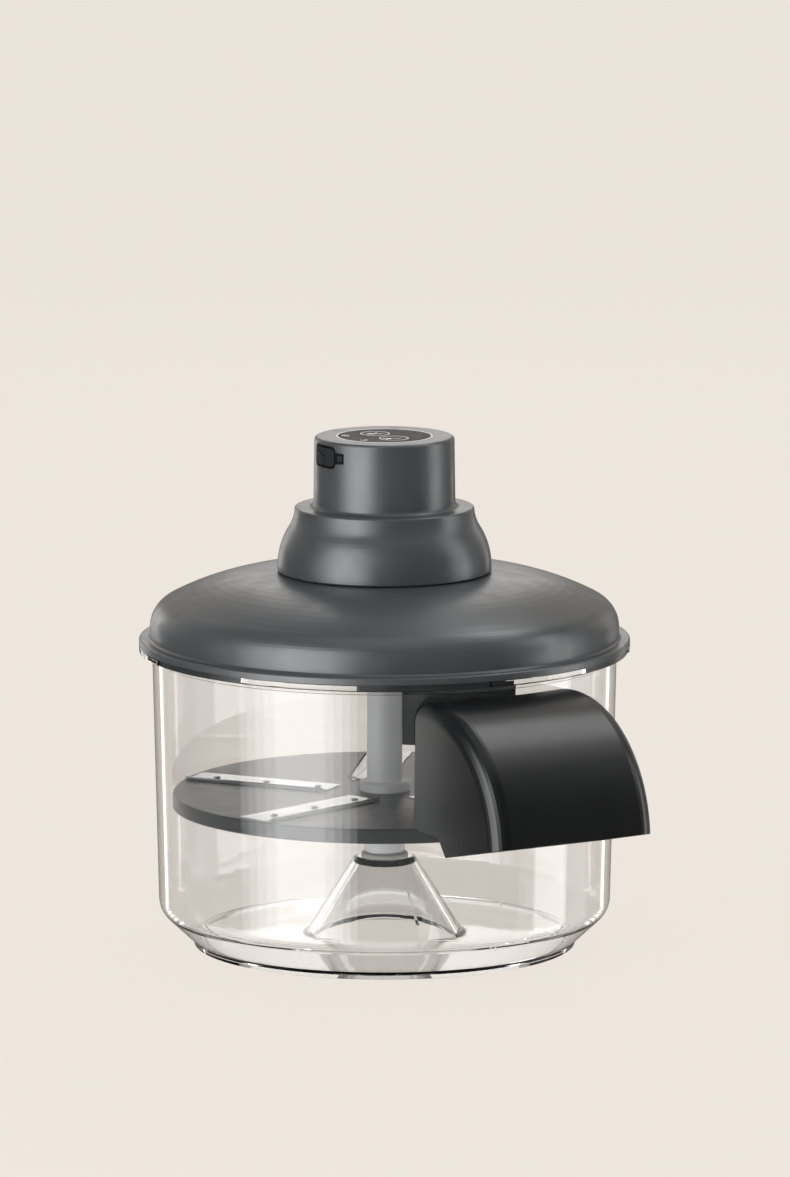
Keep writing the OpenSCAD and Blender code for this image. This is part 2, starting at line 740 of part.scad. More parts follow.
module bell_shell() {
    inner = [for (p = bell_side(shell_t)) if (p[1] < bell_top_z - shell_t) p];
    rotate_extrude()
        polygon(concat(
            [[bell_r - shell_t, bell_z], [bell_r - 0.6, bell_z], [bell_r, bell_z + 0.6]],
            [for (p = bell_side(0)) if (p[1] < bell_top_z - 0.9) p],
            arc([bell_shoulder_r - 0.8, bell_top_z - 0.8], 0.8, 0, 90, 4),
            [[spigot_r + slip_gap, bell_top_z], [spigot_r + slip_gap, bell_top_z - shell_t]],
            [[inner[len(inner) - 1][0], bell_top_z - shell_t]],
            reversed(inner)));
}

module motor_bell() {
    color([0.33, 0.35, 0.36])
    difference() {
        union() {
            bell_shell();
            for (a = base_screw_at)
                rotate([0, 0, a])
                    translate([base_screw_r, 0, base_top_z])
                        cylinder(r = boss_r, h = boss_h);
        }
        for (a = base_screw_at)
            rotate([0, 0, a])
                translate([base_screw_r, 0, base_top_z - 1])
                    cylinder(r = base_screw[1] + screw_gap, h = boss_h);
    }
}

module neck_shell() {
    in_r = neck_top_r - shell_t;
    under_z = neck_top_z - top_wall;
    rotate_extrude()
        polygon(concat(
            [[0, under_z], [board_r - 2.6, under_z], [board_r - 2.6, under_z - board_post_h]],
            [[board_r, under_z - board_post_h], [board_r, under_z], [in_r, under_z]],
            [[neck_r - shell_t, bell_top_z + shell_t], [spigot_r - shell_t, bell_top_z]],
            [[spigot_r - shell_t, bell_top_z - spigot_h]],
            [[spigot_r, bell_top_z - spigot_h], [spigot_r, bell_top_z]],
            arc([neck_r + neck_foot_r, bell_top_z + neck_foot_r], neck_foot_r, 270, 180, 6),
            arc([neck_top_r - neck_edge_r, neck_top_z - neck_edge_r], neck_edge_r, 0, 90, 6),
            [[panel_r + run_gap, neck_top_z], [panel_r + run_gap, panel_floor_z], [0, panel_floor_z]]));
}

module motor_neck() {
    color([0.33, 0.35, 0.36])
    difference() {
        neck_shell();
        cover_form(cover_in_r - seat_gap, neck_r + 2, seat_gap, tab_inset);
        translate([0, -neck_r - 3, cover_z])
            rotate([-90, 0, 0])
                linear_extrude(neck_r - 10)
                    rounded_rect(hatch[0], hatch[1], 1.6);
        for (s = [-1, 1])
            translate([s * key_pitch / 2, 0, neck_top_z - top_wall - 1])
                cylinder(r = key_stem_r + slip_gap, h = top_wall + 2);
        for (a = BOARD_SCREW_AT)
            rotate([0, 0, a])
                translate([board_r - 1.3, 0, board_z])
                    cylinder(r = board_screw[1] + screw_gap, h = board_t + board_post_h + 0.8);
    }
}

module base_plate() {
    color([0.28, 0.29, 0.3])
    difference() {
        union() {
            rotate_extrude()
                polygon([[seal_r + run_gap, seat_z], [base_r, seat_z], [base_r, base_top_z],
                    [bearing_r + 2.4, base_top_z], [bearing_r + 2.4, base_top_z + 2.2],
                    [bearing_r + run_gap, base_top_z + 2.2], [bearing_r + run_gap, bearing_z],
                    [seal_r + run_gap, bearing_z]]);
            ring(well_r - seat_gap - 2.4, well_r - seat_gap, seat_z - locate_h, seat_z + EPS);
            for (x = [-1, 1], y = [-1, 1])
                translate([x * cell_x - cell_r + 0.6, y * cradle_y - cradle_t / 2, base_top_z - EPS])
                    cube([2 * cell_r - 1.2, cradle_t, 3.4]);
        }
        for (x = [-1, 1])
            translate([x * cell_x, -cell_len, cell_z])
                rotate([-90, 0, 0])
                    cylinder(r = cell_r + slip_gap, h = 2 * cell_len);
        for (a = base_screw_at)
            rotate([0, 0, a])
                translate([base_screw_r, 0, seat_z - 1]) {
                    cylinder(r = base_screw[1] + screw_gap, h = base_t + 2);
                    cylinder(r = base_screw[0] + slip_gap, h = base_screw[2] + 1.2);
                }
        for (y = [-1, 1])
            translate([0, y * case_ear[0], seat_z + 0.8])
                cylinder(r = case_screw[1] + screw_gap, h = base_t);
    }
}

module base_screws() {
    color("silver")
    for (a = base_screw_at)
        rotate([0, 0, a])
            translate([base_screw_r, 0, 0])
                screw_up(base_screw[0], base_screw[1], seat_z + slip_gap, seat_z + slip_gap + base_screw[2],
                    base_top_z + boss_h - 2);
}

module shaft_seal() {
    color("black")
    ring(journal_r + run_gap, seal_r, bearing_z - seal_h, bearing_z);
}

module output_bearing() {
    color("silver")
    ring(journal_r + 0.02, bearing_r, bearing_z, bearing_z + bearing_h);
}

module gear_case() {
    color([0.75, 0.75, 0.72])
    difference() {
        union() {
            translate([0, 0, base_top_z])
                cylinder(r = case_r, h = case_top_z - base_top_z);
            ring(motor_r + run_gap, motor_r + motor_cup[0], case_top_z - EPS, case_top_z + motor_cup[1]);
            for (y = [-1, 1]) {
                translate([-case_ear[1], min(0, y * case_ear[0]), base_top_z])
                    cube([2 * case_ear[1], case_ear[0], case_ear[2]]);
                translate([0, y * case_ear[0], base_top_z])
                    cylinder(r = case_ear[1], h = case_ear[2]);
            }
        }
        translate([0, 0, base_top_z - 1])
            cylinder(r = case_lip_r, h = gear_z - 0.2 - base_top_z + 1);
        translate([0, 0, gear_z - 0.4])
            rotate([0, 0, 180 / RING_TEETH])
                linear_extrude(case_top_z - case_roof_t - gear_z + 0.4)
                    polygon(gear_points(RING_TEETH, ring_root_r, ring_tip_r, -backlash));
        translate([0, 0, case_top_z - case_roof_t - 1])
            cylinder(r = motor_nose[0] + 0.6, h = case_roof_t + 2);
        for (y = [-1, 1])
            translate([0, y * case_ear[0], base_top_z - 1])
                cylinder(r = case_screw[1] + screw_gap, h = case_ear[2] + 2);
    }
}

module case_screws() {
    top = base_top_z + case_ear[2];
    color("silver")
    for (y = [-1, 1])
        translate([0, y * case_ear[0], top + case_screw[2]])
            rotate([180, 0, 0])
                screw_up(case_screw[0], case_screw[1], 0, case_screw[2], case_screw[2] + case_ear[2] + 1.5);
}

module planet_carrier() {
    color("lightgray")
    union() {
        translate([0, 0, hex_z])
            cylinder(d = hex_af / cos(30), h = seat_z - 2.2 - hex_z, $fn = 6);
        translate([0, 0, seat_z - 2.2 - EPS])
            cylinder(r = journal_r, h = carrier_z - seat_z + 2.2 + 2 * EPS);
        translate([0, 0, carrier_z])
            cylinder(r = carrier_r, h = carrier_t);
        for (i = [0:PLANETS - 1])
            rotate([0, 0, i * 360 / PLANETS])
                translate([orbit_r, 0, carrier_z + carrier_t - EPS])
                    cylinder(r = pin_r, h = gear_w + 0.6);
    }
}

// One planet gear, turned so that its teeth mesh with the sun and the ring
module planet_gear(i) {
    rp = gear_module * PLANET_TEETH / 2;
    color("gold")
    rotate([0, 0, i * 360 / PLANETS])
        translate([orbit_r, 0, gear_z])
            difference() {
                rotate([0, 0, 180 / PLANET_TEETH])
                    linear_extrude(gear_w)
                        polygon(gear_points(PLANET_TEETH, rp + addendum, rp - dedendum, backlash));
                translate([0, 0, -1])
                    cylinder(r = pin_r + run_gap, h = gear_w + 2);
            }
}

module sun_gear() {
    rp = gear_module * SUN_TEETH / 2;
    color("goldenrod")
    union() {
        translate([0, 0, gear_z])
            linear_extrude(gear_w)
                polygon(gear_points(SUN_TEETH, rp + addendum, rp - dedendum, backlash));
        translate([0, 0, gear_z + gear_w - EPS])
            cylinder(r = motor_shaft_r, h = motor_z + 6 - gear_z - gear_w);
    }
}

module motor() {
    color("silver")
    difference() {
        union() {
            rotate_extrude()
                polygon([[0, motor_z], [motor_r - 0.8, motor_z], [motor_r, motor_z + 0.8],
                    [motor_r, motor_z + motor_len - 0.8], [motor_r - 0.8, motor_z + motor_len],
                    [0, motor_z + motor_len]]);
            translate([0, 0, motor_z - motor_nose[1]])
                cylinder(r = motor_nose[0], h = motor_nose[1] + EPS);
            translate([0, 0, motor_z + motor_len - EPS])
                cylinder(r = motor_tail[0], h = motor_tail[1]);
            for (x = [-1, 1])
                translate([x * 8.5 - 1.2, -0.3, motor_z + motor_len - EPS])
                    cube([2.4, 0.6, 1.8]);
        }
        translate([0, 0, motor_z - motor_nose[1] - 1])
            cylinder(r = motor_shaft_r + run_gap, h = motor_nose[1] + 8);
    }
}

// One cell lying along Y, with its raised terminal at one end
module battery_cell(side) {
    color("steelblue")
    translate([side * cell_x, -cell_len / 2, cell_z])
        rotate([-90, 0, 0]) {
            cylinder(r = cell_r, h = cell_len - 1.2);
            translate([0, 0, cell_len - 1.2 - EPS])
                cylinder(r = 2.6, h = 1.2 + EPS);
        }
}

module control_board() {
    color("darkgreen")
    difference() {
        translate([0, 0, board_z])
            cylinder(r = board_r, h = board_t);
        for (a = BOARD_SCREW_AT)
            rotate([0, 0, a])
                translate([board_r - 1.3, 0, board_z - 1])
                    cylinder(r = board_screw[1] + screw_gap, h = board_t + 2);
    }
}

module board_screws() {
    color("silver")
    for (a = BOARD_SCREW_AT)
        rotate([0, 0, a])
            translate([board_r - 1.3, 0, 0])
                screw_up(board_screw[0], board_screw[1], board_z - board_screw[2], board_z,
                    board_z + board_t + board_post_h + 0.5);
}

module key_domes() {
    color("silver")
    for (s = [-1, 1])
        translate([s * key_pitch / 2, 0, board_z + board_t])
            cylinder(r1 = dome_foot_r, r2 = dome_foot_r - 0.8, h = dome_t);
}

// Metal shell with its contact tongue, open towards the port
module charge_socket() {
    color("silver")
    translate([0, socket_y, cover_z])
        rotate([-90, 0, 0])
            union() {
                difference() {
                    linear_extrude(socket_size[2])
                        rounded_rect(socket_size[0], socket_size[1], 1.5);
                    translate([0, 0, -1])
                        linear_extrude(socket_size[2] - 0.4)
                            rounded_rect(socket_size[0] - 0.6, socket_size[1] - 0.6, 1.2);
                }
                translate([-3.3, -0.35, 1])
                    cube([6.6, 0.7, socket_size[2] - 1.2]);
            }
}

// Curved plate with a pull tab, between two radii, grown by gap; the tab's faces lie further in
module cover_form(r_in, r_out, gap, inset) {
    tab_h = cover_tab[1] + 2 * gap;
    tab_a = cover_tab[0] + gap / cover_in_r * 180 / PI;
    intersection() {
        ring(r_in, r_out, cover_z - cover_h, cover_z + cover_h);
        translate([0, -neck_r + 12, cover_z])
            rotate([90, 0, 0])
                linear_extrude(neck_r)
                    rounded_rect(2 * cover_in_r * sin(cover_half_a) + 2 * gap, cover_h + 2 * gap,
                        cover_corner_r + gap);
    }
    ring_part(r_in + inset, r_out - inset, cover_z - tab_h / 2, cover_z + tab_h / 2,
        -90 + cover_half_a + tab_a / 2 - 1, tab_a + 2);
}

// Soft cover that lies flush in the neck's recess, with a plug towards the socket
module port_cover() {
    color([0.1, 0.1, 0.1])
    union() {
        cover_form(cover_in_r, cover_out_r, 0, tab_inset);
        translate([0, -cover_in_r - 0.4, cover_z])
            rotate([-90, 0, 0])
                linear_extrude(plug_size[2] + 0.4)
                    rounded_rect(plug_size[0], plug_size[1], 1.2);
    }
}

module control_panel() {
    color([0.25, 0.23, 0.22])
    difference() {
        translate([0, 0, panel_floor_z])
            cylinder(r = panel_r - ring_w - run_gap, h = panel_t - panel_sink);
        for (s = [-1, 1])
            translate([s * key_pitch / 2, 0, panel_floor_z - 1])
                cylinder(r = key_r + slip_gap, h = panel_t + 2);
    }
}

module light_ring() {
    color("white")
    ring(panel_r - ring_w, panel_r, panel_floor_z, neck_top_z);
}

// One key with its stem, on the given side of the panel
module key(side) {
    stem_z = board_z + board_t + dome_t + stem_gap;
    translate([side * key_pitch / 2, 0, 0]) {
        translate([0, 0, panel_floor_z + key_lift])
            cylinder(r = key_r, h = panel_t - panel_sink - key_lift);
        translate([0, 0, stem_z])
            cylinder(r = key_stem_r, h = panel_floor_z + key_lift - stem_z + EPS);
    }
}

module peel_key() {
    color([0.28, 0.26, 0.25])
    key(-1);
}

module eject_key() {
    color([0.28, 0.26, 0.25])
    key(1);
}

bowl();
pivot_bush();
outlet_hood();
blade_disc();
blade(0);  // blade_1
blade(1);  // blade_2
blade(2);  // blade_3
blade(3);  // blade_4
blade(4);  // blade_5
blade_rivets();
spindle();
hub_sleeve();
lid();
lid_bush();
baffle();
baffle_screws();
motor_bell();
motor_neck();
base_plate();
base_screws();
shaft_seal();
output_bearing();
gear_case();
case_screws();
planet_carrier();
planet_gear(0);  // planet_gear_1
planet_gear(1);  // planet_gear_2
planet_gear(2);  // planet_gear_3
sun_gear();
motor();
battery_cell(-1);  // battery_cell_1
battery_cell(1);  // battery_cell_2
control_board();
board_screws();
key_domes();
charge_socket();
port_cover();
control_panel();
light_ring();
peel_key();
eject_key();
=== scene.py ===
from math import cos, pi, radians, sin

import bpy
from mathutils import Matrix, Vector


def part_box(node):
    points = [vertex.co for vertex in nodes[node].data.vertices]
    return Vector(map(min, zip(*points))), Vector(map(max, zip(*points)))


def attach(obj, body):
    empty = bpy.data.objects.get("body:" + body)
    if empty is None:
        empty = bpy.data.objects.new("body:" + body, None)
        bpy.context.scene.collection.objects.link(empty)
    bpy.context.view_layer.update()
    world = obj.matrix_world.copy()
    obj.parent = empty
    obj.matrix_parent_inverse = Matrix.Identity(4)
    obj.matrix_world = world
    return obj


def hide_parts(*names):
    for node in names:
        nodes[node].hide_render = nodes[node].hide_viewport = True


# Electric grape peeler: finishes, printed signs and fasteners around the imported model.
# Metres, +Z up, spin axis on Z, outlet hood towards +X.

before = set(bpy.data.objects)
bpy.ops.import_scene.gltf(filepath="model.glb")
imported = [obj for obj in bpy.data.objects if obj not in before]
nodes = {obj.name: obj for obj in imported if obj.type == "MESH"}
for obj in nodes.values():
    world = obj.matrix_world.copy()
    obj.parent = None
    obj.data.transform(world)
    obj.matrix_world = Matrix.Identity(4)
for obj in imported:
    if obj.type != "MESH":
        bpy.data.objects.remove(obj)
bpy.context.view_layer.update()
MM = 0.001

# Camera, measured from the photograph
PHOTO_LONG_SIDE = 1177
SENSOR = 36.0
FOCAL_PX = 8678.0
CAMERA_AZIMUTH = radians(59.5)
CAMERA_ELEVATION = radians(9.38)
CAMERA_DISTANCE = 3.549
CAMERA_REACH = 60
AIM = Vector((0, 0, 0.1468))
SIDE_STEP = 0.0043

# Studio, with its lights as shares of white
BACKGROUND = (239, 231, 222)
FLOOR_DROP = 0.0004
FLOOR_RADIUS = 14.0
FLOOR_GLOW = 0.94
FLOOR_ROUGHNESS = 0.9
AMBIENT = 0.45
DARK_ROOM = 0.04
LOW_BACK = 0.25
HIGH_BACK = 0.55
GLASS_SIDES = 0.75
GLASS_FRONT = 0.15

# Where one of these lights passes into the next, as cosines to the back and sines of the height
LOW_BACK_EDGE = (0.25, 0.95)
HIGH_BACK_EDGE = (0.25, 0.8)
GLOSS_HORIZON = (0.0, 0.15)
GLOSS_CEILING = (0.6, 0.95)
GLASS_BACK_EDGE = (0.4, 0.75)
GLASS_FRONT_EDGE = (-0.35, 0.05)
GLASS_HORIZON = (-0.05, 0.2)

# Lamps: degrees to the right of the camera, degrees above level, distance, width, height, radiance.
# The left lamp is brightest in its middle, so it is made of lamps one inside the next.
LEFT_BOXES = 5
LEFT_BOX = (-44.5, 2, 1.5, 1.84, 2.3, 0.75)
LEFT_BOX_STEP = (0.6, 0, -0.01, -0.29, -0.02, 0)
LAMPS = {
    "right_low": (97, -18, 1.5, 1.4, 1.2, 0.3),
    "right_core": (92, 4, 1.45, 0.6, 2.2, 1.9),
    "back_panel": (180, 31, 1.7, 0.6, 1.5, 0.95),
    "back_top": (130, 59, 1.6, 0.75, 0.4, 3.4),
    "side_top": (92, 54, 1.6, 0.5, 0.4, 1.1),
    "far_left": (-153, 0, 1.6, 0.4, 0.6, 1.3),
    "top_box": (20, 80, 1.8, 1.6, 1.6, 0.45),
    "edge_strip_1": (-146, -9, 1.6, 0.1, 1.4, 2.0),
    "edge_strip_2": (146, -9, 1.6, 0.1, 1.4, 2.0),
}


def linear(rgb):
    """Colour written in 0 to 255 display values, as linear RGBA."""
    out = []
    for c in rgb:
        c = c / 255
        out.append(c / 12.92 if c <= 0.04045 else ((c + 0.055) / 1.055) ** 2.4)
    return (*out, 1.0)


def shaded(rgba, share):
    """A share of a linear colour."""
    return (*[c * share for c in rgba[:3]], 1.0)


# Finishes; the lid has painted shade below its flange, on its lugs and skirt

LUG_PAINTED_SHADE = 0.4
LUG_EDGE = 0.1 * MM


class Finish:
    """A material under construction: its node tree, its shader and its Object coordinates."""

    def __init__(self, name, **sockets):
        self.material = bpy.data.materials.new(name)
        self.material.use_nodes = True
        self.tree = self.material.node_tree
        self.shader = self.tree.nodes["Principled BSDF"]
        self.output = self.tree.nodes["Material Output"]
        self.coords = self.add("ShaderNodeTexCoord").outputs["Object"]
        for socket, value in sockets.items():
            self.shader.inputs[socket.replace("_", " ")].default_value = value

    def add(self, kind, **values):
        node = self.tree.nodes.new(kind)
        for key, value in values.items():
            setattr(node, key, value)
        return node

    def link(self, a, b):
        self.tree.links.new(a, b)

    def turned(self, turn=0.0, stretch=(1, 1, 1)):
        """Coordinates turned about Z and stretched, for grain that runs one way."""
        first = self.add("ShaderNodeMapping", vector_type="POINT")
        first.inputs["Rotation"].default_value = (0, 0, -turn)
        second = self.add("ShaderNodeMapping", vector_type="POINT")
        second.inputs["Scale"].default_value = stretch
        self.link(self.coords, first.inputs["Vector"])
        self.link(first.outputs["Vector"], second.inputs["Vector"])
        return second.outputs["Vector"]

    def noise(self, size, detail=3.0, vector=None):
        """Noise whose blobs are about size metres across."""
        node = self.add("ShaderNodeTexNoise")
        node.inputs["Scale"].default_value = 1 / size
        node.inputs["Detail"].default_value = detail
        self.link(vector or self.coords, node.inputs["Vector"])
        return node.outputs["Fac"]

    def spread(self, fac, low, high, start=0.3, end=0.7):
        """Maps a pattern onto a range of values."""
        node = self.add("ShaderNodeMapRange")
        for key, value in (("From Min", start), ("From Max", end), ("To Min", low), ("To Max", high)):
            node.inputs[key].default_value = value
        self.link(fac, node.inputs["Value"])
        return node.outputs["Result"]

    def tint(self, fac, a, b):
        """Colour that runs from a to b along a pattern."""
        node = self.add("ShaderNodeMix", data_type="RGBA")
        node.inputs[6].default_value = a
        node.inputs[7].default_value = b
        self.link(fac, node.inputs[0])
        return node.outputs[2]

    def paint_shade_below(self, socket, share, height):
        """Colour that keeps only a share of itself below a height, as painted shade."""
        split = self.add("ShaderNodeSeparateXYZ")
        self.link(self.coords, split.inputs["Vector"])
        node = self.add("ShaderNodeMix", data_type="RGBA", blend_type="MULTIPLY")
        self.link(self.spread(split.outputs["Z"], 1, 0, height - LUG_EDGE, height), node.inputs[0])
        self.link(socket, node.inputs[6])
        node.inputs[7].default_value = (share, share, share, 1)
        return node.outputs[2]

    def colour(self, socket):
        self.link(socket, self.shader.inputs["Base Color"])

    def roughness(self, socket):
        self.link(socket, self.shader.inputs["Roughness"])

    def bump(self, fac, depth, strength):
        node = self.add("ShaderNodeBump")
        node.inputs["Strength"].default_value = strength
        node.inputs["Distance"].default_value = depth
        self.link(fac, node.inputs["Height"])
        self.link(node.outputs["Normal"], self.shader.inputs["Normal"])


def moulded(name, rgb, rough, depth=0.012 * MM, shade=0.10, span=0.05, painted_shade_height=None, **sockets):
    """Moulded plastic: fine spark grain, faint flow clouds and an uneven sheen."""
    f = Finish(name, **sockets)
    base = linear(rgb)
    clouds = f.tint(f.spread(f.noise(35 * MM, 4.0), 0, 1), shaded(base, 1 - shade), shaded(base, 1 + shade))
    # Below the given height the colour is darkened: painted shade.
    f.colour(f.paint_shade_below(clouds, LUG_PAINTED_SHADE, painted_shade_height) if painted_shade_height else clouds)
    f.roughness(f.spread(f.noise(9 * MM, 5.0), rough - span, rough + span))
    f.bump(f.noise(0.5 * MM, 2.0), depth, 0.6)
    return f.material


def brushed(name, rgb, rough, turn):
    """Steel with a fine grain along one direction and a few longer scratches."""
    f = Finish(name, Metallic=1.0)
    base = linear(rgb)
    lines = f.noise(0.35 * MM, 2.0, f.turned(turn, (0.02, 1, 1)))
    f.colour(f.tint(f.spread(f.noise(12 * MM, 3.0), 0, 1), shaded(base, 0.82), base))
    f.roughness(f.spread(lines, rough - 0.08, rough + 0.10))
    f.bump(lines, 0.006 * MM, 0.5)
    return f.material


def turned_metal(name, rgb, rough):
    """Lathe-turned or plated metal: rings round Z with a soft tarnish."""
    f = Finish(name, Metallic=1.0)
    base = linear(rgb)
    f.colour(f.tint(f.spread(f.noise(6 * MM, 4.0), 0, 1), shaded(base, 0.75), base))
    f.roughness(f.spread(f.noise(3 * MM, 3.0), rough - 0.07, rough + 0.07))
    f.bump(f.noise(0.25 * MM, 1.0, f.turned(0, (0.3, 0.3, 1))), 0.004 * MM, 0.5)
    return f.material


def clear_plastic(name):
    """Clear moulded plastic that lets the lamps through, with faint flow waves in its skin."""
    f = Finish(name, Transmission_Weight=1.0, IOR=1.59)
    thick, thin = (0.886, 0.886, 0.883, 1), (0.901, 0.901, 0.898, 1)
    f.colour(f.tint(f.spread(f.noise(60 * MM, 2.0), 0, 1), thick, thin))
    f.roughness(f.spread(f.noise(20 * MM, 3.0), 0.0, 0.02))
    f.bump(f.noise(28 * MM, 1.0), 0.02 * MM, 0.04)
    path = f.add("ShaderNodeLightPath")
    film = f.add("ShaderNodeBsdfTransparent")
    film.inputs["Color"].default_value = (0.93, 0.93, 0.93, 1)
    mix = f.add("ShaderNodeMixShader")
    f.link(path.outputs["Is Shadow Ray"], mix.inputs[0])
    f.link(f.shader.outputs["BSDF"], mix.inputs[1])
    f.link(film.outputs["BSDF"], mix.inputs[2])
    f.link(mix.outputs["Shader"], f.output.inputs["Surface"])
    return f.material


def soft_rubber(name, rgb, gloss=0.35, dust=0.004):
    """Matt silicone with a fine skin and a little dust in its grain."""
    f = Finish(name, Specular_IOR_Level=gloss)
    base = linear(rgb)
    dusty = (*[c * 1.5 + dust for c in base[:3]], 1.0)
    f.colour(f.tint(f.spread(f.noise(1.2 * MM, 6.0), 0, 1, 0.45, 0.8), base, dusty))
    f.roughness(f.spread(f.noise(2 * MM, 4.0), 0.48, 0.66))
    f.bump(f.noise(0.3 * MM, 3.0), 0.012 * MM, 0.6)
    return f.material


def panel_film(name, rgb):
    """Matt printed film with fine paler specks in its colour, a painted sparkle."""
    f = Finish(name, Specular_IOR_Level=0.12)
    base = linear(rgb)
    # Paler specks: painted sparkle.
    f.colour(f.tint(f.spread(f.noise(0.5 * MM, 4.0), 0, 1, 0.5, 0.75), base, shaded(base, 1.35)))
    f.roughness(f.spread(f.noise(4 * MM, 3.0), 0.5, 0.62))
    f.bump(f.noise(6 * MM, 2.0), 0.01 * MM, 0.3)
    return f.material


def printed_white(name, rgb):
    """Screen-printed ink: nearly white, with an uneven cover and sheen."""
    f = Finish(name)
    base = linear(rgb)
    f.colour(f.tint(f.spread(f.noise(0.8 * MM, 4.0), 0, 1), shaded(base, 0.86), base))
    f.roughness(f.spread(f.noise(1.5 * MM, 3.0), 0.35, 0.5))
    f.bump(f.noise(0.2 * MM, 2.0), 0.004 * MM, 0.5)
    return f.material


def wrapped_cell(name, rgb):
    """Heat-shrunk sleeve: smooth film with long, shallow folds."""
    f = Finish(name, Coat_Weight=0.3, Coat_Roughness=0.15)
    base = linear(rgb)
    folds = f.noise(2.5 * MM, 2.0, f.turned(0, (1, 0.15, 1)))
    f.colour(f.tint(f.spread(f.noise(15 * MM, 3.0), 0, 1), shaded(base, 0.8), base))
    f.roughness(f.spread(folds, 0.25, 0.42))
    f.bump(folds, 0.03 * MM, 0.5)
    return f.material


def solder_mask(name, rgb):
    """Circuit board: mask over copper tracks that show as paler, raised lines."""
    f = Finish(name, Coat_Weight=0.4, Coat_Roughness=0.2)
    base = linear(rgb)
    tracks = f.add("ShaderNodeTexBrick", offset=0.37, squash=1.6, squash_frequency=3)
    tracks.inputs["Scale"].default_value = 260
    tracks.inputs["Mortar Size"].default_value = 0.06
    f.link(f.coords, tracks.inputs["Vector"])
    f.colour(f.tint(tracks.outputs["Fac"], base, shaded(base, 1.8)))
    f.roughness(f.spread(f.noise(3 * MM, 3.0), 0.32, 0.45))
    f.bump(tracks.outputs["Fac"], 0.03 * MM, 0.6)
    return f.material


SLATE_LOOK = dict(rgb=(65, 68, 71), rough=0.33, depth=0.004 * MM, IOR=1.7, Specular_IOR_Level=0.6)
SLATE = moulded("slate_satin", **SLATE_LOOK)
# The lid gets painted shade below the bowl's top, on its lugs and skirt.
LID_SLATE = moulded("lid_slate", **SLATE_LOOK, painted_shade_height=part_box("bowl")[1].z)
CLEAR = clear_plastic("clear_bowl")
HOOD_BLACK = moulded("hood_black", (17, 18, 20), 0.30, depth=0.002 * MM, span=0.015,
                     Specular_IOR_Level=0.65)
DISC_GREY = moulded("disc_grey", (38, 40, 42), 0.34, depth=0.001 * MM, span=0.03,
                    Specular_IOR_Level=0.27)
SPINDLE_GREY = moulded("spindle_grey", (228, 228, 229), 0.40)
# The sleeve has a paler copy of the spindle's grey, painted light against the shade of the disc above it.
SLEEVE_PAINTED_LIGHT = moulded("sleeve_grey_painted_light", (246, 246, 246), 0.40, shade=0.03)
BUSH_WHITE = moulded("bush_natural", (214, 211, 202), 0.45)
BAFFLE_DARK = moulded("baffle_dark", (58, 60, 62), 0.38)
GEAR_WHITE = moulded("gear_nylon_white", (226, 222, 210), 0.42)
CASE_IVORY = moulded("case_ivory", (205, 203, 196), 0.45)
SEAL_RUBBER = soft_rubber("seal_rubber", (26, 26, 27))
COVER_RUBBER = soft_rubber("cover_rubber", (33, 34, 36), gloss=0.2)
# Nearly black, for painted shade in the port cover's gap and groove.
GAP_PAINTED_SHADE = soft_rubber("painted_gap_shade", (4, 4, 4), gloss=0.03, dust=0.001)
PANEL = panel_film("panel_film_brown", (64, 59, 57))
KEY_FILM = panel_film("key_film_brown", (68, 63, 61))
INK = printed_white("ink_white", (236, 234, 230))
RING_WHITE = printed_white("ring_white", (242, 240, 236))
SCREW_STEEL = turned_metal("screw_steel", (190, 190, 192), 0.30)
BEARING_STEEL = turned_metal("bearing_steel", (205, 206, 208), 0.22)
BRASS = turned_metal("sun_brass", (196, 160, 84), 0.28)
CAN_STEEL = turned_metal("can_zinc", (178, 180, 184), 0.34)
SOCKET_NICKEL = turned_metal("socket_nickel", (200, 198, 192), 0.26)
CELL_WRAP = wrapped_cell("cell_sleeve", (58, 96, 128))
BOARD = solder_mask("board_mask", (24, 74, 44))

FINISHES = {
    "bowl": CLEAR, "pivot_bush": BUSH_WHITE, "outlet_hood": HOOD_BLACK, "blade_disc": DISC_GREY,
    "blade_rivets": SCREW_STEEL, "spindle": SPINDLE_GREY, "hub_sleeve": SLEEVE_PAINTED_LIGHT,
    "lid": LID_SLATE, "lid_bush": BUSH_WHITE, "baffle": BAFFLE_DARK, "baffle_screws": SCREW_STEEL,
    "motor_bell": SLATE, "motor_neck": SLATE, "base_plate": SLATE, "base_screws": SCREW_STEEL,
    "shaft_seal": SEAL_RUBBER, "output_bearing": BEARING_STEEL, "gear_case": CASE_IVORY,
    "case_screws": SCREW_STEEL, "planet_carrier": BEARING_STEEL, "planet_gear_1": GEAR_WHITE,
    "planet_gear_2": GEAR_WHITE, "planet_gear_3": GEAR_WHITE, "sun_gear": BRASS, "motor": CAN_STEEL,
    "battery_cell_1": CELL_WRAP, "battery_cell_2": CELL_WRAP, "control_board": BOARD,
    "board_screws": SCREW_STEEL, "key_domes": SOCKET_NICKEL, "charge_socket": SOCKET_NICKEL,
    "port_cover": COVER_RUBBER, "control_panel": PANEL, "light_ring": RING_WHITE,
    "peel_key": KEY_FILM, "eject_key": KEY_FILM,
}

# Blades: each has its grain along its own length
BLADES = 5
BLADE_START = radians(70.5)
BLADE_STEP = radians(72)
for i in range(BLADES):
    FINISHES[f"blade_{i + 1}"] = brushed(
        f"blade_steel_{i + 1}", (206, 207, 208), 0.26, BLADE_START + i * BLADE_STEP)

for name, material in FINISHES.items():
    node = nodes[name]
    if not node.data.materials:
        node.data.materials.append(material)
    for slot in node.material_slots:
        slot.material = material


# Ways of modelling

SMOOTH_ANGLE = radians(32)
INK_T = 0.05 * MM
RING_POINTS = 48
DOT_POINTS = 20
ARC_STEPS = 24


